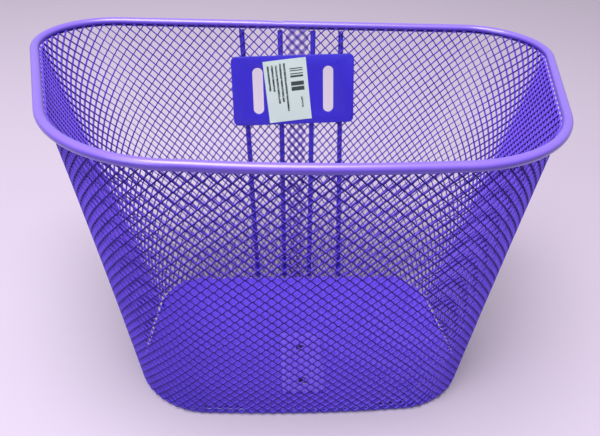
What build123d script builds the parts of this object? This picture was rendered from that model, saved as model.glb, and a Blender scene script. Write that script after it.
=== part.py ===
"""Handlebar basket: a tapered tub of expanded steel, hung from a bicycle's handlebar and fork stay.

Millimetres, +Z up, origin at the middle of the footprint. The rear side, which faces the bicycle, is +Y.
"""

import os
from math import atan2, cos, pi, radians, sin, tau

from build123d import *

os.makedirs("parts", exist_ok=True)

# Driving dimensions of the tub. Each outline is a rounded trapezoid with a slightly bowed front.
rim_height = 212.5  # centre of the rim channel above the ground
rim_rear_half_width = 191.9  # to the sharp corner, before it is rounded
rim_front_half_width = 133.1
rim_rear_y = 110.0
rim_front_y = -106.9
rim_bow = 3.1
rim_rear_radius = 48.5
rim_front_radius = 84.0

base_x = 5.0  # the base sits this far to the right of the rim
base_rear_half_width = 108.0
base_front_half_width = 122.4
base_rear_y = 69.7
base_front_y = -77.2
base_bow = 2.0
base_rear_radius = 35.8
base_front_radius = 52.4

# Rolled rim channel: folded from strip, so its section is a many-sided C
channel_radius = 3.25
channel_wall = 0.8
channel_sides = 10
channel_mouth = 3.0  # slot where the mesh goes in
channel_mouth_turn = 50.0  # degrees, from straight down towards the inside
channel_joint_gap = 0.5

# Expanded mesh. Its openings are counted, so that both ends of the sheet meet at the rear.
mesh_thickness = 1.2
mesh_inset = 2.5  # from the rim channel's centre line to the mesh, at the same height
mesh_below_rim = 0.8  # how far the top edge stays below the channel's centre
mesh_columns = 24
mesh_rows = 12  # half openings, from the ground to the rim
knuckle_half_length = 2.6
knuckle_half_height = 1.2
base_opening_pitch = (31.0, 29.0)
base_opening = (26.8, 25.1)
base_selvedge = 3.0  # pressed flat over the ring wire

# Wires
ring_wire_radius = 2.0
ring_wire_sides = 8
rod_radius = 2.0
seat_clearance = 0.05  # between pieces that are welded face to face

# Rear rods: across the rear wall, at the rim and at the ground
rods = {
    "rear_rod_outer_left": (-40.0, -26.0),
    "rear_rod_inner_left": (-11.0, -3.0),
    "rear_rod_inner_right": (14.0, 18.4),
    "rear_rod_outer_right": (35.0, 44.0),
}

# Slotted hanger plate, inside the rear wall
hanger_width = 94.0
hanger_height = 53.5
hanger_thickness = 2.0
hanger_corner_radius = 4.0
hanger_up_wall = 168.0  # from the ground to its middle, along the rear wall
hanger_tilt = 2.7  # degrees, as it is welded on
slot_width = 8.0
slot_length = 36.0
slot_spacing = 54.2
mesh_cut_margin = 2.5  # strands that would come this near to a slot are cut out

# Stay plate, on the base
stay_width = 30.8
stay_length = 60.0
stay_thickness = 1.5
stay_corner_radius = 2.0
stay_x = 4.5
stay_y = -34.5
stay_hole_radius = 3.25
stay_hole_spacing = 33.6
stay_holes_y = -36.8

# Price sticker on the hanger plate
sticker_width = 33.0
sticker_height = 48.0
sticker_thickness = 0.2
sticker_x = -4.5
sticker_tilt = 5.0  # degrees, against the plate


def tub_outline(rear_half, front_half, rear_y, front_y, bow, rear_radius, front_radius):
    """Rounded trapezoid: straight rear edge, tapering sides, front edge bowed outwards."""
    with BuildSketch() as outline:
        with BuildLine():
            Polyline(
                (front_half, front_y),
                (rear_half, rear_y),
                (-rear_half, rear_y),
                (-front_half, front_y),
            )
            ThreePointArc((-front_half, front_y), (0, front_y - bow), (front_half, front_y))
        make_face()
        corners = outline.vertices().group_by(Axis.Y)
        fillet(corners[-1], radius=rear_radius)
        corners = outline.vertices().filter_by(lambda v: abs(v.Y - front_y) < bow / 2)
        fillet(corners, radius=front_radius)
    return outline.sketch


def grown(sketch, amount):
    """The same outline, offset outwards by amount, or inwards if it is negative."""
    with BuildSketch() as result:
        add(sketch)
        offset(amount=amount, kind=Kind.ARC, mode=Mode.REPLACE)
    return result.sketch


rim_outline = tub_outline(
    rim_rear_half_width,
    rim_front_half_width,
    rim_rear_y,
    rim_front_y,
    rim_bow,
    rim_rear_radius,
    rim_front_radius,
)
base_outline = tub_outline(
    base_rear_half_width,
    base_front_half_width,
    base_rear_y,
    base_front_y,
    base_bow,
    base_rear_radius,
    base_front_radius,
).moved(Location((base_x, 0, 0)))

# Plane of the rear wall's middle surface: x along the handlebar, y up the wall, z out of the tub
rear_lean = atan2(rim_rear_y - mesh_inset - base_rear_y, rim_height)
rear_wall = Plane(
    origin=(0, base_rear_y, 0),
    x_dir=(-1, 0, 0),
    z_dir=(0, cos(rear_lean), -sin(rear_lean)),
)
hanger_back = Plane(
    origin=rear_wall.from_local_coords(
        Vector(0, hanger_up_wall, -mesh_thickness / 2 - seat_clearance)
    ),
    x_dir=rear_wall.x_dir.rotate(Axis((0, 0, 0), rear_wall.z_dir), -hanger_tilt),
    z_dir=rear_wall.z_dir,
)


def edges_in_turn(sketch, height):
    """The outline's edges at this height, in order round the tub, each as a function of the share of
    its length that has been passed, with its length. The rear edge is first, then the one at -X."""
    centre = sketch.center()

    def turn(point):
        return (atan2(centre.X - point.X, point.Y) + pi / 4) % tau

    def follow(edge):
        forward = turn(edge @ 0.25) < turn(edge @ 0.75)
        return (lambda share: edge @ share) if forward else (lambda share: edge @ (1 - share))

    placed = sketch.wire().moved(Location((0, 0, height)))
    ordered = placed.edges().sort_by(lambda edge: turn(edge @ 0.5))
    return [(follow(edge), edge.length) for edge in ordered]


top_edges = edges_in_turn(grown(rim_outline, -mesh_inset), rim_height)
foot_edges = edges_in_turn(base_outline, 0)
top_length = sum(length for edge, length in top_edges)


def wall_point(distance, height, offset=0.0):
    """Point of the wall: on the straight line between matching points of base and rim, moved out
    of the tub by the offset. The distance runs along the rim."""
    left = distance % top_length
    for (top, length), (foot, foot_length) in zip(top_edges, foot_edges):
        if left <= length:
            break
        left -= length
    head, toe = top(left / length), foot(left / length)
    point = toe + (head - toe) * (height / rim_height)
    if offset:
        step = mesh_thickness
        along = wall_point(distance + step, height) - wall_point(distance - step, height)
        point += (head - toe).cross(along).normalized() * offset
    return point


# Corners of a knuckle, as columns and rows of its half length and half height
EAST, NORTH, WEST, SOUTH = (1, 0), (0, 1), (-1, 0), (0, -1)
# Each strand leaves a knuckle at the edge between two of its corners, towards the next column and row
STRANDS = {
    (1, 1): (EAST, NORTH),
    (-1, 1): (NORTH, WEST),
    (-1, -1): (WEST, SOUTH),
    (1, -1): (SOUTH, EAST),
}


def flat_faces(a, b, c, d):
    """The four-sided surface a, b, c, d as two flat triangles."""
    return [Face(Wire.make_polygon(corners, close=True)) for corners in ((a, b, c), (a, c, d))]


def expanded_sheet(corner, columns, rows, has_strand):
    """Closed solid of a diamond lattice that runs round the tub and meets itself at the end.

    Knuckles sit where column and row are both even or both odd, and strands join them. The function
    corner(i, j, toward, side) places a knuckle's corners on the inner (-1) and outer (1) face, and
    has_strand(i, j, lean) says whether the strand that rises from a knuckle is there.
    """

    def joined(i, j, across, up):
        if up < 0:
            i, j, across = i + across, j - 1, -across
        return 0 <= j < rows and has_strand(i % columns, j, across)

    faces = []
    for i in range(columns):
        for j in range(i % 2, rows + 1, 2):
            strands = {way: edge for way, edge in STRANDS.items() if joined(i, j, *way)}
            if not strands:
                continue
            outer = {toward: corner(i, j, toward, 1) for toward in (EAST, NORTH, WEST, SOUTH)}
            inner = {toward: corner(i, j, toward, -1) for toward in outer}
            faces += flat_faces(*[outer[toward] for toward in (EAST, NORTH, WEST, SOUTH)])
            faces += flat_faces(*[inner[toward] for toward in (SOUTH, WEST, NORTH, EAST)])
            for way, (first, second) in STRANDS.items():
                if way not in strands:
                    faces += flat_faces(outer[first], inner[first], inner[second], outer[second])
                elif way[1] > 0:
                    away = [(-x, -y) for x, y in (second, first)]
                    out_a, out_b = [corner(i + way[0], j + 1, toward, 1) for toward in away]
                    in_a, in_b = [corner(i + way[0], j + 1, toward, -1) for toward in away]
                    faces += flat_faces(outer[first], out_a, out_b, outer[second])
                    faces += flat_faces(inner[second], in_b, in_a, inner[first])
                    faces += flat_faces(outer[first], inner[first], in_a, out_a)
                    faces += flat_faces(outer[second], out_b, in_b, inner[second])
    return Solid(Shell(faces))


# Wall mesh: knuckles evenly spaced along the rim, closer together at the foot, where it is narrower
mesh_top = rim_height - mesh_below_rim
half_pitch = top_length / (2 * mesh_columns)
steepest_lean = 20.0  # degrees, of the wall at its corners
foot_knuckle_z = knuckle_half_height + mesh_thickness / 2 * sin(radians(steepest_lean))
row_rise = (mesh_top - knuckle_half_height - foot_knuckle_z) / mesh_rows


def wall_corner(i, j, toward, side):
    return wall_point(
        i * half_pitch + toward[0] * knuckle_half_length,
        foot_knuckle_z + j * row_rise + toward[1] * knuckle_half_height,
        side * mesh_thickness / 2,
    )


def clear_of_slots(i, j, lean):
    """Whether the strand that rises from this knuckle stays clear of both slots of the hanger plate."""
    start = wall_corner(i, j, (0, 0), 0)
    end = wall_corner(i + lean, j + 1, (0, 0), 0)
    for share in (0, 0.2, 0.4, 0.6, 0.8, 1):
        point = hanger_back.to_local_coords(start + (end - start) * share)
        beside = abs(abs(point.X) - slot_spacing / 2) < slot_width / 2 + mesh_cut_margin
        level = abs(point.Y) < slot_length / 2 + mesh_cut_margin
        if beside and level and abs(point.Z) < 2 * mesh_thickness:
            return False
    return True


with BuildPart() as wall_mesh:
    add(expanded_sheet(wall_corner, 2 * mesh_columns, mesh_rows, clear_of_slots))
wall_mesh.part.label = "wall_mesh"
export_step(wall_mesh.part, "parts/wall_mesh.step")

# Base mesh: lies on the ring wire, inside the wall
base_mesh_z = 2 * ring_wire_radius + seat_clearance
base_inset = 2 * mesh_thickness + seat_clearance
with BuildPart() as base_mesh:
    with BuildSketch(Plane.XY.offset(base_mesh_z)):
        add(grown(base_outline, -base_inset))
        with BuildSketch(mode=Mode.PRIVATE) as openings:
            add(grown(base_outline, -base_inset - base_selvedge))
            with BuildSketch(mode=Mode.INTERSECT):
                for shift in (0, 0.5):
                    centre = (base_x + shift * base_opening_pitch[0], shift * base_opening_pitch[1])
                    with Locations(centre):
                        with GridLocations(*base_opening_pitch, 9, 7):
                            Polygon(
                                (base_opening[0] / 2, 0),
                                (0, base_opening[1] / 2),
                                (-base_opening[0] / 2, 0),
                                (0, -base_opening[1] / 2),
                            )
        add(openings.sketch, mode=Mode.SUBTRACT)
        with Locations((stay_x, stay_holes_y)):
            with GridLocations(0, stay_hole_spacing, 1, 2):
                Circle(stay_hole_radius + mesh_cut_margin / 2, mode=Mode.SUBTRACT)
    extrude(amount=mesh_thickness)
base_mesh.part.label = "base_mesh"
export_step(base_mesh.part, "parts/base_mesh.step")

# Rim channel: a tube slit towards the inside, rolled shut on the mesh, its ends butted at the rear
rim_path = rim_outline.wire().moved(Location((0, 0, rim_height)))
with BuildPart() as rim_channel:
    with BuildSketch(Plane(origin=rim_path @ 0, x_dir=(0, 0, 1), z_dir=rim_path % 0)):
        RegularPolygon(channel_radius, channel_sides, major_radius=True)
        RegularPolygon(channel_radius - channel_wall, channel_sides, mode=Mode.SUBTRACT)
        with Locations(Rotation(0, 0, channel_mouth_turn)):
            with Locations((-channel_radius, 0)):
                Rectangle(2 * channel_radius, channel_mouth, mode=Mode.SUBTRACT)
    sweep(path=rim_path)
    with Locations((0, rim_rear_y, rim_height)):
        Box(channel_joint_gap, 4 * channel_radius, 4 * channel_radius, mode=Mode.SUBTRACT)
rim_channel.part.label = "rim_channel"
export_step(rim_channel.part, "parts/rim_channel.step")

# Ring wire: runs round inside the foot of the wall
ring_inset = mesh_thickness / 2 + ring_wire_radius + 2 * seat_clearance
ring_path = grown(base_outline, -ring_inset).wire().moved(Location((0, 0, ring_wire_radius)))
with BuildPart() as bottom_ring_wire:
    with BuildSketch(Plane(origin=ring_path @ 0, x_dir=(0, 0, 1), z_dir=ring_path % 0)):
        RegularPolygon(ring_wire_radius, ring_wire_sides)
    sweep(path=ring_path)
bottom_ring_wire.part.label = "bottom_ring_wire"
export_step(bottom_ring_wire.part, "parts/bottom_ring_wire.step")

# Rear rods: four upright wires outside the rear wall, from the rim down to the ground
rod_foot = 1.0
rod_top = rim_height - channel_radius - rod_radius
rod_stand_off = mesh_thickness / 2 + rod_radius + seat_clearance
for rod_name, (top_x, foot_x) in rods.items():
    foot = rear_wall.from_local_coords(Vector(-foot_x, rod_foot + rod_radius, rod_stand_off))
    head = rear_wall.from_local_coords(Vector(-top_x, rod_top, rod_stand_off))
    with BuildPart() as rear_rod:
        with BuildSketch(Plane(origin=foot, z_dir=head - foot)):
            Circle(rod_radius)
        extrude(amount=(head - foot).length)
    rear_rod.part.label = rod_name
    export_step(rear_rod.part, f"parts/{rod_name}.step")

# Hanger plate: takes the two bracket bolts, which slide in its upright slots
with BuildPart() as hanger_plate:
    with BuildSketch(hanger_back):
        RectangleRounded(hanger_width, hanger_height, hanger_corner_radius)
        with GridLocations(slot_spacing, 0, 2, 1):
            SlotOverall(slot_length, slot_width, rotation=90, mode=Mode.SUBTRACT)
    extrude(amount=-hanger_thickness)
hanger_plate.part.label = "hanger_plate"
export_step(hanger_plate.part, "parts/hanger_plate.step")

# Price sticker
sticker_face = hanger_back.offset(-hanger_thickness - seat_clearance / 5)
with BuildPart() as price_sticker:
    with BuildSketch(sticker_face):
        with Locations((-sticker_x, 0)):
            Rectangle(sticker_width, sticker_height, rotation=-sticker_tilt)
    extrude(amount=-sticker_thickness)
price_sticker.part.label = "price_sticker"
export_step(price_sticker.part, "parts/price_sticker.step")

# Stay plate: takes the bolts of the stay that runs down to the fork
stay_z = base_mesh_z + mesh_thickness + seat_clearance
with BuildPart() as stay_plate:
    with BuildSketch(Plane.XY.offset(stay_z)):
        with Locations((stay_x, stay_y)):
            RectangleRounded(stay_width, stay_length, stay_corner_radius)
        with Locations((stay_x, stay_holes_y)):
            with GridLocations(0, stay_hole_spacing, 1, 2):
                Circle(stay_hole_radius, mode=Mode.SUBTRACT)
    extrude(amount=stay_thickness)
stay_plate.part.label = "stay_plate"
export_step(stay_plate.part, "parts/stay_plate.step")
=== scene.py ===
from dataclasses import dataclass
from math import cos, pi, radians, sin

import bmesh
import bpy
import numpy as np
from mathutils import Matrix, Vector


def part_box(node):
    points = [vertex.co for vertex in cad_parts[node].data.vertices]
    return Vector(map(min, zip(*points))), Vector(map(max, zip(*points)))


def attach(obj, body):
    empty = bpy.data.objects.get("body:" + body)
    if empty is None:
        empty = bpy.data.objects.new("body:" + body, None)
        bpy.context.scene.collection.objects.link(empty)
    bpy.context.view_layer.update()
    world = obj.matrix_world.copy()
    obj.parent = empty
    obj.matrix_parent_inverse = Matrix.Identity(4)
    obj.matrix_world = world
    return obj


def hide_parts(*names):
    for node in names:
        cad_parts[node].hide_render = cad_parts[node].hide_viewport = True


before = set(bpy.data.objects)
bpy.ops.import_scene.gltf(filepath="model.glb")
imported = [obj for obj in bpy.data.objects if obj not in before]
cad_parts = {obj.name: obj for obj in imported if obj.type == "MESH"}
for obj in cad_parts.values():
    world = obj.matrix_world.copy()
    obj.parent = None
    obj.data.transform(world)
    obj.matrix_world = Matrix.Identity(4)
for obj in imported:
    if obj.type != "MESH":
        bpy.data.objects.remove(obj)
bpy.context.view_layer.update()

MM = 0.001
UP = np.array([0.0, 0.0, 1.0])

# ---------------------------------------------------------------- sizes, in metres

CHANNEL_SEAT = 3.25 * MM  # radius that the rim channel may take, from its centre line
CHANNEL_RADIUS = 3.05 * MM
CHANNEL_BELL = 3.08 * MM  # at the rear this end slips over the other, which is drawn in to suit
CHANNEL_SPIGOT = 2.48 * MM
CHANNEL_WALL = 0.6 * MM
CHANNEL_MOUTH = 3.0 * MM
CHANNEL_MOUTH_TURN = radians(50)  # from straight down towards the inside
BELL_PAST_MIDDLE = 8.2 * MM
SPIGOT_PAST_MIDDLE = 4.0 * MM
CHANNEL_STATION = 3.0 * MM  # along the rim, from one ring of points to the next
RIM_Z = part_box("rim_channel")[1][2] - CHANNEL_SEAT

WIRE_RADIUS = 2.0 * MM
WIRE_SIDES = 20
RING_INSET = 2.7 * MM  # from the foot of the wall to the ring wire's centre
ROD_FOOT_Z = 3.0 * MM
ROD_ROUNDING = 0.5 * MM
ROD_SINK = 0.2 * MM  # the welded rods lie this deep in the strands
RODS = {  # across the rear wall, at the rim and at the ground
    "rear_rod_outer_left": (-40 * MM, -26 * MM),
    "rear_rod_inner_left": (-11 * MM, -3 * MM),
    "rear_rod_inner_right": (14 * MM, 18.4 * MM),
    "rear_rod_outer_right": (35 * MM, 44 * MM),
}

STRAND_PITCH = 7.6 * MM  # along the rim, from one knuckle to the next
ROW_RISE = 3.66 * MM  # up the wall, from one staggered row to the next
KNUCKLE_HALF_LENGTH = 0.60 * MM
KNUCKLE_HALF_HEIGHT = 0.34 * MM
WALL_STRAND_DEPTH = 1.3 * MM
BASE_STRAND_DEPTH = 4.4 * MM
WALL_LEAN = radians(4)  # of a strand's section, from square to the sheet
BASE_LEAN = radians(70)
MESH_INSET = 3.2 * MM  # from the rim's centre line to the wall
FOOT_Z = 3.1 * MM  # the strands end on the side of the ring wire
LOWEST_STRAND_Z = 2.8 * MM
TOP_BELOW_RIM = 0.8 * MM  # from the rim's centre line down to the top of the sheet
STAY_HOLE_SPACING = 33.6 * MM
STAY_HOLES_Y = -2.3 * MM  # middle of the two holes, from the middle of the stay plate
STAY_HOLE_CLEARANCE = 6.6 * MM  # knuckles of the base this near to a hole's centre are cut out
BASE_EDGE = 1.5 * MM  # from the foot of the wall to the outermost knuckles of the base
LAP = 10.2 * MM  # each end of the sheet passes the rear centre line by this
LAP_RISE_START = 14 * MM  # before the lap, where the sheet starts to ride up over its first end
LAP_RISE_END = 2 * MM
LAYER_RISE = 0.9  # of a strand's depth, from one layer of the lap to the next
SLOT_SPACING = 54.2 * MM
SLOT_WIDTH = 8 * MM
SLOT_LENGTH = 36 * MM
SLOT_MARGIN = 1.6 * MM  # knuckles this near to a slot are cut out
SLOT_REACH = 8 * MM  # in front of the plate and behind it

LABEL_WIDTH, LABEL_HEIGHT = 33 * MM, 48 * MM
LABEL_THICKNESS = 0.15 * MM
LABEL_LIFT = 0.45 * MM  # of its corners


@dataclass
class Outline:
    """A rounded trapezoid with a bowed front, the plan of the rim or of the base."""

    rear_half_width: float
    front_half_width: float
    rear_y: float
    front_y: float
    bow: float
    rear_radius: float
    front_radius: float
    centre_x: float = 0.0


RIM = Outline(191.9 * MM, 133.1 * MM, 110.0 * MM, -106.9 * MM, 3.1 * MM, 48.5 * MM, 84.0 * MM)
BASE = Outline(108.0 * MM, 122.4 * MM, 69.7 * MM, -77.2 * MM, 2.0 * MM, 35.8 * MM, 52.4 * MM, 5.0 * MM)


# ---------------------------------------------------------------- the tub's surface


def rounded_corner(before, corner, after, radius, count):
    """Points of the arc that rounds a corner: its centre lies on the corner's bisector."""
    to_before = (before - corner) / np.linalg.norm(before - corner)
    to_after = (after - corner) / np.linalg.norm(after - corner)
    half_angle = np.arccos(np.dot(to_before, to_after)) / 2
    bisector = (to_before + to_after) / np.linalg.norm(to_before + to_after)
    centre = corner + bisector * radius / np.sin(half_angle)
    start = corner + to_before * radius / np.tan(half_angle) - centre
    end = corner + to_after * radius / np.tan(half_angle) - centre
    start_angle, end_angle = np.arctan2(start[1], start[0]), np.arctan2(end[1], end[0])
    sweep = (end_angle - start_angle + pi) % (2 * pi) - pi
    angles = start_angle + np.linspace(0, 1, count) * sweep
    return centre + radius * np.stack([np.cos(angles), np.sin(angles)], axis=1)


def outline_points(shape, count=33):
    """The closed plan as five features on each side, each with the same number of points, so that
    two outlines pair up point by point. It starts at the rear centre and runs towards -X."""
    rear = np.array([0.0, shape.rear_y])
    rear_corner = np.array([-shape.rear_half_width, shape.rear_y])
    front_corner = np.array([-shape.front_half_width, shape.front_y])
    front = np.array([0.0, shape.front_y])
    rear_arc = rounded_corner(rear, rear_corner, front_corner, shape.rear_radius, count)
    front_arc = rounded_corner(rear_corner, front_corner, front, shape.front_radius, count)
    along = np.linspace(0, 1, count)[:, None]
    rear_edge = rear + (rear_arc[0] - rear) * along
    side = rear_arc[-1] + (front_arc[0] - rear_arc[-1]) * along
    front_edge = front_arc[-1] + (front - front_arc[-1]) * along
    front_edge[:, 1] -= shape.bow * (1 - (front_edge[:, 0] / front_arc[-1][0]) ** 2)
    left = np.concatenate([rear_edge[:-1], rear_arc[:-1], side[:-1], front_arc[:-1], front_edge])
    right = left[::-1][1:] * [-1, 1]
    return np.concatenate([left, right]) + [shape.centre_x, 0.0]


def inset(points, amount):
    """The closed plan moved inwards, each point square to the line through its neighbours."""
    before, after = np.roll(points[:-1], 1, axis=0), np.roll(points[:-1], -1, axis=0)
    along = after - before
    inward = np.stack([-along[:, 1], along[:, 0]], axis=1) / np.linalg.norm(along, axis=1)[:, None]
    moved = points[:-1] + inward * amount
    return np.concatenate([moved, moved[:1]])


RIM_POINTS = outline_points(RIM)
BASE_POINTS = outline_points(BASE)
WALL_TOP_POINTS = inset(RIM_POINTS, MESH_INSET)
RIM_STEPS = np.linalg.norm(np.diff(RIM_POINTS, axis=0), axis=1)
RIM_LENGTHS = np.concatenate([[0.0], np.cumsum(RIM_STEPS)])
RIM_LENGTH = RIM_LENGTHS[-1]


def along_outline(points, distance):
    """Plan point at a distance round the rim. Every outline is read at the rim's own stations."""
    wrapped = np.mod(distance, RIM_LENGTH)
    return np.stack([np.interp(wrapped, RIM_LENGTHS, points[:, k]) for k in range(2)], axis=-1)


def wall_point(distance, height):
    """The wall is ruled: straight lines from the base outline to the matching point of the rim."""
    share = (height / RIM_Z)[..., None]
    foot, head = along_outline(BASE_POINTS, distance), along_outline(WALL_TOP_POINTS, distance)
    plan = foot * (1 - share) + head * share
    return np.concatenate([plan, height[..., None]], axis=-1)


def unit(vectors):
    return vectors / np.linalg.norm(vectors, axis=-1, keepdims=True)


def smooth_step(value, start, end):
    """0 before the start, 1 past the end, and between them three squares less two cubes."""
    share = np.clip((value - start) / (end - start), 0, 1)
    return share * share * (3 - 2 * share)


def wall_frame(distance, height):
    """Point, outward normal and upward direction of the wall, from differences over a millimetre
    to each side."""
    step = 1.0 * MM
    point = wall_point(distance, height)
    along = wall_point(distance + step, height) - wall_point(distance - step, height)
    upward = unit(wall_point(distance, height + step) - wall_point(distance, height - step))
    outward = unit(np.cross(along, upward))
    return point, outward, upward


# ---------------------------------------------------------------- meshes


def new_piece(name, points, faces, material, smooth=False, replaces=()):
    """A mesh object at the origin, its faces turned outwards, riding on the basket's one body."""
    mesh = bpy.data.meshes.new(name)
    mesh.from_pydata(np.asarray(points).reshape(-1, 3).tolist(), [], [list(face) for face in faces])
    work = bmesh.new()
    work.from_mesh(mesh)
    if work.calc_volume(signed=True) < 0:
        bmesh.ops.reverse_faces(work, faces=work.faces)
    work.to_mesh(mesh)
    work.free()
    mesh.polygons.foreach_set("use_smooth", np.full(len(mesh.polygons), smooth))
    mesh.materials.append(material)
    mesh.update()
    piece = bpy.data.objects.new(name, mesh)
    bpy.context.scene.collection.objects.link(piece)
    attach(piece, "root")
    if replaces:
        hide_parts(*replaces)
    return piece


def diamond_lattice(place, columns, rows, keep):
    """Expanded sheet as one closed lattice. Knuckles stand on a staggered grid, each a small block
    with four corners (east, north, west, south) on its front and its back. A strand joins an edge
    of one knuckle to the opposite edge of the next one up, left or right. place gives the front
    and back points of sheet coordinates, keep says which knuckles exist."""
    i, j = np.meshgrid(np.arange(columns + 1), np.arange(rows + 1), indexing="ij")
    exists = ((i + j) % 2 == 0) & keep(i, j)

    def neighbour(di, dj):
        shifted = np.zeros_like(exists)
        src = exists[max(di, 0) : columns + 1 + min(di, 0), max(dj, 0) : rows + 1 + min(dj, 0)]
        shifted[max(-di, 0) : columns + 1 + min(-di, 0), max(-dj, 0) : rows + 1 + min(-dj, 0)] = src
        return shifted & exists

    linked = neighbour(1, 1) | neighbour(-1, 1) | neighbour(-1, -1) | neighbour(1, -1)
    exists &= linked
    number = np.full(exists.shape, -1)
    number[exists] = np.arange(exists.sum())
    ki, kj = i[exists], j[exists]

    corner_i = np.array([1.0, 0.0, -1.0, 0.0]) * KNUCKLE_HALF_LENGTH
    corner_j = np.array([0.0, 1.0, 0.0, -1.0]) * KNUCKLE_HALF_HEIGHT
    a = ki[:, None] * STRAND_PITCH / 2 + corner_i
    b = kj[:, None] * ROW_RISE + corner_j
    front, back = place(a, b)
    points = np.stack([front, back], axis=1).reshape(-1, 3)

    def corner(knuckle, side, which):
        return knuckle * 8 + side * 4 + which

    east, north, west, south = range(4)
    every = number[exists]
    faces = [
        np.stack([corner(every, 0, k) for k in (east, north, west, south)], axis=1),
        np.stack([corner(every, 1, k) for k in (south, west, north, east)], axis=1),
    ]
    strands = (
        (1, 1, east, south, west, north),
        (-1, 1, north, east, south, west),
    )
    for di, dj, here_a, there_a, there_b, here_b in strands:
        has = neighbour(di, dj)
        start = number[has]
        end = number[np.nonzero(has)[0] + di, np.nonzero(has)[1] + dj]
        ends = ((start, here_a), (end, there_a), (end, there_b), (start, here_b))
        fa, fb, fc, fd = (corner(knuckle, 0, which) for knuckle, which in ends)
        ba, bb, bc, bd = (corner(knuckle, 1, which) for knuckle, which in ends)
        faces += [
            np.stack([fa, fb, fc, fd], axis=1),
            np.stack([bd, bc, bb, ba], axis=1),
            np.stack([fa, ba, bb, fb], axis=1),
            np.stack([fd, fc, bc, bd], axis=1),
        ]
    edges = (
        (1, 1, east, north),
        (-1, 1, north, west),
        (-1, -1, west, south),
        (1, -1, south, east),
    )
    for di, dj, first, second in edges:
        open_end = number[exists & ~neighbour(di, dj)]
        cap = [corner(open_end, 0, first), corner(open_end, 1, first), corner(open_end, 1, second)]
        cap.append(corner(open_end, 0, second))
        faces.append(np.stack(cap, axis=1))
    return points, np.concatenate(faces)


def tube_faces(stations, around, closed):
    """Quads of a grid of rings, with its two ends capped unless the path closes on itself."""
    s = np.arange(stations if closed else stations - 1)[:, None]
    k = np.arange(around)[None, :]
    here, there = s * around, (s + 1) % stations * around
    quads = np.stack([here + k, there + k, there + (k + 1) % around, here + (k + 1) % around], axis=-1)
    return quads.reshape(-1, 4).tolist()


def circle(around):
    """The unit circle's two coordinates, as rows."""
    angles = np.linspace(0, 2 * pi, around, endpoint=False)
    return np.array([np.cos(angles), np.sin(angles)])


def square_to(along):
    """Level unit vectors to the right of plan directions: x and y change places, one with its sign."""
    along = unit(along)
    return np.column_stack([along[:, 1], -along[:, 0], np.zeros(len(along))])


def swept(path, profile, across, up, closed=False):
    """A profile carried along a path: each ring is the path point plus the profile's two
    coordinates times the local across and up directions."""
    across, up = np.broadcast_to(across, path.shape), np.broadcast_to(up, path.shape)
    rings = path[:, None, :] + profile[0][..., None] * across[:, None, :]
    rings = rings + profile[1][..., None] * up[:, None, :]
    count, around = rings.shape[0], rings.shape[1]
    faces = tube_faces(count, around, closed)
    if not closed:
        faces.append(list(range(around)))
        faces.append(list(range((count - 1) * around, count * around))[::-1])
    return rings.reshape(-1, 3), faces


# ---------------------------------------------------------------- materials

# Rim, wall mesh and base enamel in two colours: the lit one is painted light on faces that point up, the
# shaded one is painted shade on undersides and cut edges.
RIM_LIT = (0.250, 0.140, 0.820, 1.0)
RIM_SHADED = (0.050, 0.014, 0.380, 1.0)
MESH_LIT = (0.195, 0.098, 0.860, 1.0)
MESH_SHADED = (0.012, 0.003, 0.150, 1.0)
BASE_LIT = (0.120, 0.055, 0.720, 1.0)
# A lighter copy of the enamel for the stay plate: painted light for the flat plate that faces up. Its two
# colours are the ends of a random drift of tone.
STAY_LIT = (0.230, 0.110, 0.940, 1.0)
STAY_LIT_DEEP = (0.085, 0.038, 0.600, 1.0)
# A darker, bluer copy of the enamel for the wires and the hanger plate. Its darkness is painted shade:
# for the rods and ring wire, which sit in shadow, and for the upright plate, which takes less light.
BLUE_VIOLET = (0.019, 0.002, 0.560, 1.0)
BLUE_VIOLET_SHADE = (0.014, 0.001, 0.480, 1.0)
FLOOR_LIGHT = (0.64, 0.54, 0.69, 1.0)
FLOOR_DARK = (0.60, 0.51, 0.66, 1.0)
PAPER_LIGHT = (0.60, 0.70, 0.66, 1.0)
PAPER_DARK = (0.50, 0.60, 0.60, 1.0)
INK = (0.03, 0.05, 0.05, 1.0)

# Lines of print run up the label: where each starts and ends, as shares of its height.
PRINT_ENDS = ((0.52, 0.92), (0.50, 0.93), (0.30, 0.92), (0.32, 0.94), (0.16, 0.94))
PRINT_LEFT, PRINT_STEP, PRINT_WIDTH = 0.08, 0.095, 0.045
CODE_ROWS = 60


class Signal:
    """A shader socket that can be worked with in plain arithmetic: each operator adds a Math node."""

    def __init__(self, shader, socket):
        self.shader = shader
        self.socket = socket

    def _math(self, operation, first, second):
        return self.shader.node("ShaderNodeMath", {"operation": operation}, {0: first, 1: second})

    def __add__(self, other):
        return self._math("ADD", self, other)

    __radd__ = __add__

    def __sub__(self, other):
        return self._math("SUBTRACT", self, other)

    def __mul__(self, other):
        return self._math("MULTIPLY", self, other)

    def __lt__(self, other):
        return self._math("LESS_THAN", self, other)

    def __gt__(self, other):
        return self._math("GREATER_THAN", self, other)


class Shader:
    """A material with one Principled surface, built from nodes by type, settings and inputs."""

    def __init__(self, name, **constants):
        self.material = bpy.data.materials.new(name)
        self.material.use_nodes = True
        self.tree = self.material.node_tree
        self.surface = self.tree.nodes["Principled BSDF"]
        for socket, value in constants.items():
            self.surface.inputs[socket.replace("_", " ")].default_value = value

    def node(self, kind, settings=None, inputs=None, output=0):
        made = self.tree.nodes.new(kind)
        for key, value in (settings or {}).items():
            setattr(made, key, value)
        for key, value in (inputs or {}).items():
            if isinstance(value, Signal):
                self.tree.links.new(value.socket, made.inputs[key])
            else:
                made.inputs[key].default_value = value
        return Signal(self, made.outputs[output])

    def mix(self, factor, first, second):
        settings = {"data_type": "RGBA"}
        return self.node("ShaderNodeMix", settings, {0: factor, 6: first, 7: second}, output=2)

    def feed(self, socket, signal):
        self.tree.links.new(signal.socket, self.surface.inputs[socket])


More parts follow.
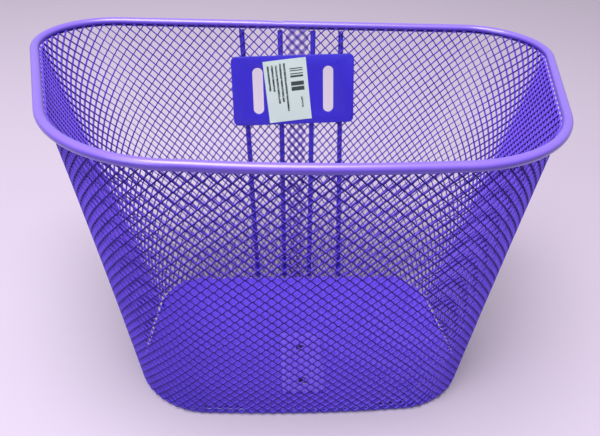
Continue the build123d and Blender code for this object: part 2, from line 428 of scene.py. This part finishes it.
def enamel(name, colour, deep_colour, roughness):
    """Glossy powder coat: slow drifts of tone, a fine orange-peel surface."""
    shader = Shader(name, Coat_Weight=0.8, Coat_Roughness=0.22, IOR=1.5)
    where = shader.node("ShaderNodeTexCoord", output=3)
    drift = shader.node("ShaderNodeTexNoise", None, {"Vector": where, "Scale": 22.0, "Detail": 3.0})
    peel = shader.node("ShaderNodeTexNoise", None, {"Vector": where, "Scale": 900.0, "Detail": 2.0})
    shader.feed("Base Color", shader.mix(drift * 0.8, colour, deep_colour))
    shader.feed("Roughness", drift * 0.12 + roughness)
    bump = shader.node("ShaderNodeBump", None, {"Strength": 0.18, "Distance": 0.0002, "Height": peel})
    shader.feed("Normal", bump)
    return shader.material


def enamel_with_painted_shade(name, lit, shaded, roughness, gloss, level=0.3):
    """The same powder coat with painted light and shade: what faces up is painted light, and cut edges
    and undersides are painted dark as shade. The share follows the height of the face's normal."""
    shader = Shader(name, Coat_Weight=gloss, Coat_Roughness=0.2, Specular_IOR_Level=level)
    where = shader.node("ShaderNodeTexCoord", output=3)
    normal = shader.node("ShaderNodeNewGeometry", output=3)
    facing_up = shader.node("ShaderNodeSeparateXYZ", None, {0: normal}, output=2)
    drift = shader.node("ShaderNodeTexNoise", None, {"Vector": where, "Scale": 30.0, "Detail": 3.0})
    share = shader.node("ShaderNodeClamp", None, {0: facing_up * 1.5 + drift * 0.4 - 0.25})
    shader.feed("Base Color", shader.mix(share, shaded, lit))
    shader.feed("Roughness", drift * 0.12 + roughness)
    return shader.material


def between(value, low, high):
    return (value > low) * (value < high)


def label_paper():
    """Pale thermal paper. Broken bars stand for its lines of print, and stripes for its code. The
    piece's UV map runs across and up the label, both from 0 to 1."""
    shader = Shader("sticker_paper", Roughness=0.6)
    across, up = (
        shader.node("ShaderNodeSeparateXYZ", None, {0: shader.node("ShaderNodeUVMap")}, output=k)
        for k in (0, 1)
    )
    where = shader.node("ShaderNodeUVMap")
    letters = shader.node("ShaderNodeTexNoise", None, {"Vector": where, "Scale": 34.0, "Detail": 1.0})
    lines = 0
    for number, (start, end) in enumerate(PRINT_ENDS):
        left = PRINT_LEFT + PRINT_STEP * number
        lines = lines + between(across, left, left + PRINT_WIDTH) * between(up, start, end)
    ink = lines * between(letters, 0.36, 0.66)
    row = shader.node("ShaderNodeMath", {"operation": "FLOOR"}, {0: up * CODE_ROWS})
    stripe = shader.node("ShaderNodeTexWhiteNoise", {"noise_dimensions": "1D"}, {"W": row})
    code = between(across, 0.60, 0.90) * between(up, 0.44, 0.90) * (stripe > 0.42)
    small = between(across, 0.80, 0.84) * between(up, 0.20, 0.38) * (letters > 0.45)
    dark = ink + code + small
    paper_tone = shader.mix(letters * 0.25, PAPER_LIGHT, PAPER_DARK)
    shader.feed("Base Color", shader.mix(dark, paper_tone, INK))
    return shader.material


def floor_paper():
    """Seamless backdrop paper, pale, with the faintest mottling."""
    shader = Shader("floor_paper", Roughness=0.9)
    where = shader.node("ShaderNodeTexCoord", output=3)
    mottle = shader.node("ShaderNodeTexNoise", None, {"Vector": where, "Scale": 3.0, "Detail": 2.0})
    shader.feed("Base Color", shader.mix(mottle * 0.5, FLOOR_LIGHT, FLOOR_DARK))
    return shader.material


# Painted light and shade: rim, wall mesh and base are lighter where their faces point up and darker on
# their undersides.
rim_enamel = enamel_with_painted_shade("rim_enamel", RIM_LIT, RIM_SHADED, 0.30, 0.8, 0.6)
mesh_enamel = enamel_with_painted_shade("mesh_enamel", MESH_LIT, MESH_SHADED, 0.40, 0.0, 0.1)
base_enamel = enamel_with_painted_shade("base_enamel", BASE_LIT, MESH_SHADED, 0.36, 0.15, 0.2)
# Stay plate: a lighter copy of the enamel, painted light.
stay_enamel = enamel("stay_enamel", STAY_LIT, STAY_LIT_DEEP, 0.36)
# Wires and hanger plate: a darker copy of the enamel, painted shade.
wire_enamel = enamel("wire_enamel", BLUE_VIOLET, BLUE_VIOLET_SHADE, 0.34)
plate_enamel = enamel("plate_enamel", BLUE_VIOLET, BLUE_VIOLET_SHADE, 0.42)
paper = label_paper()


# ---------------------------------------------------------------- expanded mesh


def node_axes(name):
    """Centre of a flat CAD node, and its directions across, up and towards the front of the basket:
    the principal axes of its corners, longest first."""
    corners = np.array([v.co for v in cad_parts[name].data.vertices])
    corners = np.unique(np.round(corners / (0.01 * MM)), axis=0) * 0.01 * MM
    centre = (corners.min(axis=0) + corners.max(axis=0)) / 2
    axes = np.linalg.svd(corners - corners.mean(axis=0), full_matrices=False)[2]
    up = max(axes[:2], key=lambda axis: abs(axis[2]))
    up = up * np.sign(up[2])
    front = axes[2] * -np.sign(axes[2][1])
    return centre, np.cross(up, front), up, front


def make_wall():
    """One sheet wrapped round the tub: along it is distance round the rim, and up it is height,
    both in proportion. Its last stretch rides out over its first, at the lap, by a smooth step."""
    columns = int((RIM_LENGTH + 2 * LAP) / (STRAND_PITCH / 2))
    top = RIM_Z - TOP_BELOW_RIM
    slant = RIM_Z / cos(np.arctan2(RIM.rear_y - BASE.rear_y, RIM_Z))
    rows = int((top - FOOT_Z) / RIM_Z * slant / ROW_RISE)
    plate_centre, across, up, front = node_axes("hanger_plate")

    def place_middle(a, b):
        distance = a - LAP
        height = FOOT_Z + (top - FOOT_Z) * b / (rows * ROW_RISE)
        return distance, np.clip(height, LOWEST_STRAND_Z, top)

    def place(a, b):
        distance, height = place_middle(a, b)
        point, outward, upward = wall_frame(distance, height)
        lap_start = RIM_LENGTH - LAP
        riding = smooth_step(distance, lap_start - LAP_RISE_START, lap_start - LAP_RISE_END)
        point = point + outward * (riding * WALL_STRAND_DEPTH * LAYER_RISE)[..., None]
        depth = outward * cos(WALL_LEAN) + upward * sin(WALL_LEAN)
        return point + depth * WALL_STRAND_DEPTH / 2, point - depth * WALL_STRAND_DEPTH / 2

    def keep(i, j):
        """The sheet is cut away behind the two slots of the hanger plate."""
        distance, height = place_middle(i * STRAND_PITCH / 2, j * ROW_RISE)
        from_plate = wall_point(distance, height) - plate_centre
        beside = np.abs(np.abs(from_plate @ across) - SLOT_SPACING / 2) < SLOT_WIDTH / 2 + SLOT_MARGIN
        level = np.abs(from_plate @ up) < SLOT_LENGTH / 2 + SLOT_MARGIN
        return ~(beside & level & (np.abs(from_plate @ front) < SLOT_REACH))

    points, faces = diamond_lattice(place, columns, rows, keep)
    wall = new_piece("wall_expanded_mesh", points, faces, mesh_enamel, replaces=("wall_mesh",))


def make_base():
    """A flat piece of the same sheet, its strands laid over towards the rear. A knuckle exists
    inside the foot of the wall, by the even-odd rule, and clear of the stay plate's two holes."""
    low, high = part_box("base_mesh")
    columns = int((high[0] - low[0]) / (STRAND_PITCH / 2))
    rows = int((high[1] - low[1]) / ROW_RISE)
    middle_z = (low[2] + high[2]) / 2
    inner = inset(BASE_POINTS, BASE_EDGE)
    stay_x, stay_y, _ = node_axes("stay_plate")[0]

    def plan(i, j):
        return low[0] + i * STRAND_PITCH / 2, low[1] + j * ROW_RISE

    def keep(i, j):
        x, y = plan(i, j)
        inside = np.zeros(i.shape, dtype=bool)
        for (ax, ay), (bx, by) in zip(inner[:-1], inner[1:]):
            crosses = (ay > y) != (by > y)
            edge_x = ax + (bx - ax) * (y - ay) / (by - ay if by != ay else 1)
            inside ^= crosses & (x < edge_x)
        for end in (-1, 1):
            hole_y = stay_y + STAY_HOLES_Y + end * STAY_HOLE_SPACING / 2
            inside &= np.hypot(x - stay_x, y - hole_y) > STAY_HOLE_CLEARANCE
        return inside

    def place(a, b):
        point = np.stack([low[0] + a, low[1] + b, np.full(a.shape, middle_z)], axis=-1)
        depth = np.array([0.0, sin(BASE_LEAN), cos(BASE_LEAN)])
        return point + depth * BASE_STRAND_DEPTH / 2, point - depth * BASE_STRAND_DEPTH / 2

    points, faces = diamond_lattice(place, columns, rows, keep)
    base = new_piece("base_expanded_mesh", points, faces, base_enamel, replaces=("base_mesh",))


# ---------------------------------------------------------------- rim, wires and plates


def make_rim():
    """Slit tube carried round the rim: an arc outside and a smaller one back inside. Its first end
    is drawn in and its last end belled out over it, by a smooth step along the path."""
    distance = np.arange(-SPIGOT_PAST_MIDDLE, RIM_LENGTH + BELL_PAST_MIDDLE, CHANNEL_STATION)
    distance = np.append(distance, RIM_LENGTH + BELL_PAST_MIDDLE)
    plan = along_outline(RIM_POINTS, distance)
    path = np.column_stack([plan, np.full(len(plan), RIM_Z)])
    along = along_outline(RIM_POINTS, distance + 1 * MM) - along_outline(RIM_POINTS, distance - 1 * MM)
    drawn_in = 1 - smooth_step(distance, 10 * MM, 24 * MM)
    belled = smooth_step(distance, RIM_LENGTH - 22 * MM, RIM_LENGTH - 8 * MM)
    radius = CHANNEL_RADIUS + (CHANNEL_SPIGOT - CHANNEL_RADIUS) * drawn_in
    radius = radius + (CHANNEL_BELL - CHANNEL_RADIUS) * belled
    mouth = -pi / 2 - CHANNEL_MOUTH_TURN
    half_mouth = np.arcsin(CHANNEL_MOUTH / 2 / CHANNEL_RADIUS)
    angles = np.linspace(mouth + half_mouth, mouth + 2 * pi - half_mouth, 26)
    turns = np.concatenate([angles, angles[::-1]])
    inward = np.repeat([0.0, CHANNEL_WALL], len(angles))
    profile = (radius[:, None] - inward) * np.array([np.cos(turns), np.sin(turns)])[:, None, :]
    points, faces = swept(path, profile, square_to(along), UP)
    rim = new_piece("rim", points, faces, rim_enamel, smooth=True, replaces=("rim_channel",))
    rim.data.set_sharp_from_angle(angle=radians(50))


def make_ring_wire():
    """Circle carried round the foot of the tub, inside the wall."""
    plan = inset(BASE_POINTS, RING_INSET)[:-1]
    plan = plan[np.linalg.norm(plan - np.roll(plan, 1, axis=0), axis=1) > 0.05 * MM]
    path = np.column_stack([plan, np.full(len(plan), WIRE_RADIUS)])
    along = np.roll(plan, -1, axis=0) - np.roll(plan, 1, axis=0)
    profile = np.broadcast_to(WIRE_RADIUS * circle(WIRE_SIDES)[:, None, :], (2, len(path), WIRE_SIDES))
    points, faces = swept(path, profile, square_to(along), UP, closed=True)
    wire = new_piece("ring_wire", points, faces, wire_enamel, smooth=True, replaces=("bottom_ring_wire",))


def rear_wall_point(x, z):
    """The rear wall is flat between its corners, so y grows with z alone."""
    return np.array([x, BASE.rear_y + (RIM.rear_y - MESH_INSET - BASE.rear_y) * z / RIM_Z, z])


def make_rods():
    """Straight wires outside the rear wall. Each end is rounded: over the last half millimetre the
    radius follows a quarter circle."""
    lean = np.arctan2(RIM.rear_y - MESH_INSET - BASE.rear_y, RIM_Z)
    outward = np.array([0, cos(lean), -sin(lean)])
    stand_off = outward * (WIRE_RADIUS + WALL_STRAND_DEPTH / 2 - ROD_SINK)
    turn = np.linspace(0, pi / 2, 5)
    for name, (top_x, foot_x) in RODS.items():
        foot, head = (
            rear_wall_point(foot_x + (top_x - foot_x) * z / RIM_Z, z) + stand_off
            for z in (ROD_FOOT_Z, RIM_Z - CHANNEL_RADIUS)
        )
        length = np.linalg.norm(head - foot)
        direction = (head - foot) / length
        end = ROD_ROUNDING * (1 - np.cos(turn))
        at = np.concatenate([end, length - end[::-1]])
        edge = WIRE_RADIUS - ROD_ROUNDING * (1 - np.sin(turn))
        radius = np.concatenate([edge, edge[::-1]])
        path = foot + direction * at[:, None]
        profile = radius[:, None] * circle(WIRE_SIDES)[:, None, :]
        points, faces = swept(path, profile, np.cross(direction, outward), outward)
        rod = new_piece(name + "_wire", points, faces, wire_enamel, smooth=True, replaces=(name,))


def make_plate(node, name, edge_radius, material):
    """A copy of the node's flat plate, its triangles merged and its edges rounded by the press."""
    work = bmesh.new()
    work.from_mesh(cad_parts[node].data)
    bmesh.ops.remove_doubles(work, verts=work.verts, dist=0.001 * MM)
    bmesh.ops.dissolve_limit(work, angle_limit=radians(1), verts=work.verts, edges=work.edges)
    mesh = bpy.data.meshes.new(name)
    work.to_mesh(mesh)
    work.free()
    mesh.materials.clear()
    mesh.materials.append(material)
    mesh.polygons.foreach_set("use_smooth", np.full(len(mesh.polygons), True))
    plate = bpy.data.objects.new(name, mesh)
    bpy.context.scene.collection.objects.link(plate)
    bevel = plate.modifiers.new("pressed_edge", "BEVEL")
    bevel.width = edge_radius
    bevel.segments = 3
    bevel.limit_method = "ANGLE"
    bevel.angle_limit = radians(40)
    bevel.harden_normals = True
    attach(plate, "root")
    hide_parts(node)


def make_sticker():
    """Paper label: a grid across and up the plate, with a second layer behind it. It rises off the
    plate by the fourth power of its share across times the fourth power of its share up."""
    centre, across, up, front = node_axes("price_sticker")
    u, v = np.meshgrid(np.linspace(-1, 1, 17), np.linspace(-1, 1, 25))
    rise = LABEL_THICKNESS + LABEL_LIFT * (u * u * v * v) ** 2
    flat = centre + across * (u * LABEL_WIDTH / 2)[..., None] + up * (v * LABEL_HEIGHT / 2)[..., None]
    layers = (rise, rise - LABEL_THICKNESS)
    sheet = np.stack([flat + front * layer[..., None] for layer in layers])
    rows, columns = u.shape
    number = np.arange(2 * rows * columns).reshape(2, rows, columns)

    def quads(a, b, c, d):
        return np.stack([a, b, c, d], axis=-1).reshape(-1, 4)

    top, under = number
    faces = [
        quads(top[:-1, :-1], top[:-1, 1:], top[1:, 1:], top[1:, :-1]),
        quads(under[:-1, :-1], under[1:, :-1], under[1:, 1:], under[:-1, 1:]),
    ]
    sides = (number[:, 0, :-1], number[:, :-1, -1], number[:, -1, :0:-1], number[:, :0:-1, 0])
    border = np.concatenate(sides, axis=1)
    after = np.roll(border, -1, axis=1)
    faces.append(quads(border[0], border[1], after[1], after[0]))
    label = new_piece("price_label", sheet, np.concatenate(faces), paper, replaces=("price_sticker",))
    layer = label.data.uv_layers.new(name="print")
    corner = np.empty(len(label.data.loops), dtype=np.int32)
    label.data.loops.foreach_get("vertex_index", corner)
    grid = np.stack([(u + 1) / 2, (v + 1) / 2], axis=-1).reshape(-1, 2)
    layer.data.foreach_set("uv", np.concatenate([grid, grid])[corner].ravel())


make_wall()
make_base()
make_rim()
make_ring_wire()
make_rods()
make_plate("hanger_plate", "hanger_plate_pressed", 0.35 * MM, plate_enamel)
make_plate("stay_plate", "stay_plate_pressed", 0.3 * MM, stay_enamel)
make_sticker()


# ---------------------------------------------------------------- stage, light and camera

FLOOR_HALF_SIDE = 6.0
WORLD_STRENGTH = 0.42
LIGHT_TARGET = (0, 0, 0.1)
AREA_LIGHTS = (  # name, place, size, power in watts
    ("overhead", (-0.2, -0.4, 1.6), 1.0, 27),
    ("front_left", (-1.0, -1.1, 1.0), 0.8, 7),
)
CAMERA_PLACE = (-0.03564, -0.40163, 0.37673)
CAMERA_PITCH, CAMERA_YAW, CAMERA_ROLL = radians(33.35), radians(5.25), radians(-2.87)
CAMERA_SENSOR, CAMERA_LENS = 36.0, 41.36  # in the camera's own millimetres


def make_stage():
    """A square of floor at height zero."""
    half = FLOOR_HALF_SIDE
    corners = [(-half, -half, 0), (half, -half, 0), (half, half, 0), (-half, half, 0)]
    mesh = bpy.data.meshes.new("floor")
    mesh.from_pydata(corners, [], [(0, 1, 2, 3)])
    mesh.materials.append(floor_paper())
    floor = bpy.data.objects.new("floor", mesh)
    bpy.context.scene.collection.objects.link(floor)


def area_light(name, place, size, power):
    """A square soft light at a place, turned to the middle of the tub."""
    data = bpy.data.lights.new(name, "AREA")
    data.size = size
    data.energy = power
    light = bpy.data.objects.new(name, data)
    light.location = place
    light.rotation_euler = (Vector(LIGHT_TARGET) - Vector(place)).to_track_quat("-Z", "Y").to_euler()
    bpy.context.scene.collection.objects.link(light)


def make_light():
    """An even white world, a large light overhead and a weaker one at the front left."""
    world = bpy.data.worlds.new("studio")
    world.use_nodes = True
    background = world.node_tree.nodes["Background"]
    background.inputs["Color"].default_value = (1.0, 1.0, 1.0, 1.0)
    background.inputs["Strength"].default_value = WORLD_STRENGTH
    bpy.context.scene.world = world
    bpy.context.scene.view_settings.view_transform = "Standard"
    for light in AREA_LIGHTS:
        area_light(*light)


def make_camera():
    """Close above the front edge, looking down into the tub."""
    data = bpy.data.cameras.new("camera")
    data.sensor_width = CAMERA_SENSOR
    data.lens = CAMERA_LENS
    camera = bpy.data.objects.new("camera", data)
    pitch, yaw, roll = CAMERA_PITCH, CAMERA_YAW, CAMERA_ROLL
    forward = Vector((sin(yaw) * cos(pitch), cos(yaw) * cos(pitch), -sin(pitch)))
    right = Vector((cos(yaw), -sin(yaw), 0))
    down = forward.cross(right)
    right, down = right * cos(roll) + down * sin(roll), down * cos(roll) - right * sin(roll)
    turn = Matrix((right, -down, -forward)).transposed()
    camera.matrix_world = Matrix.Translation(CAMERA_PLACE) @ turn.to_4x4()
    bpy.context.scene.collection.objects.link(camera)
    bpy.context.scene.camera = camera


make_stage()
make_light()
make_camera()
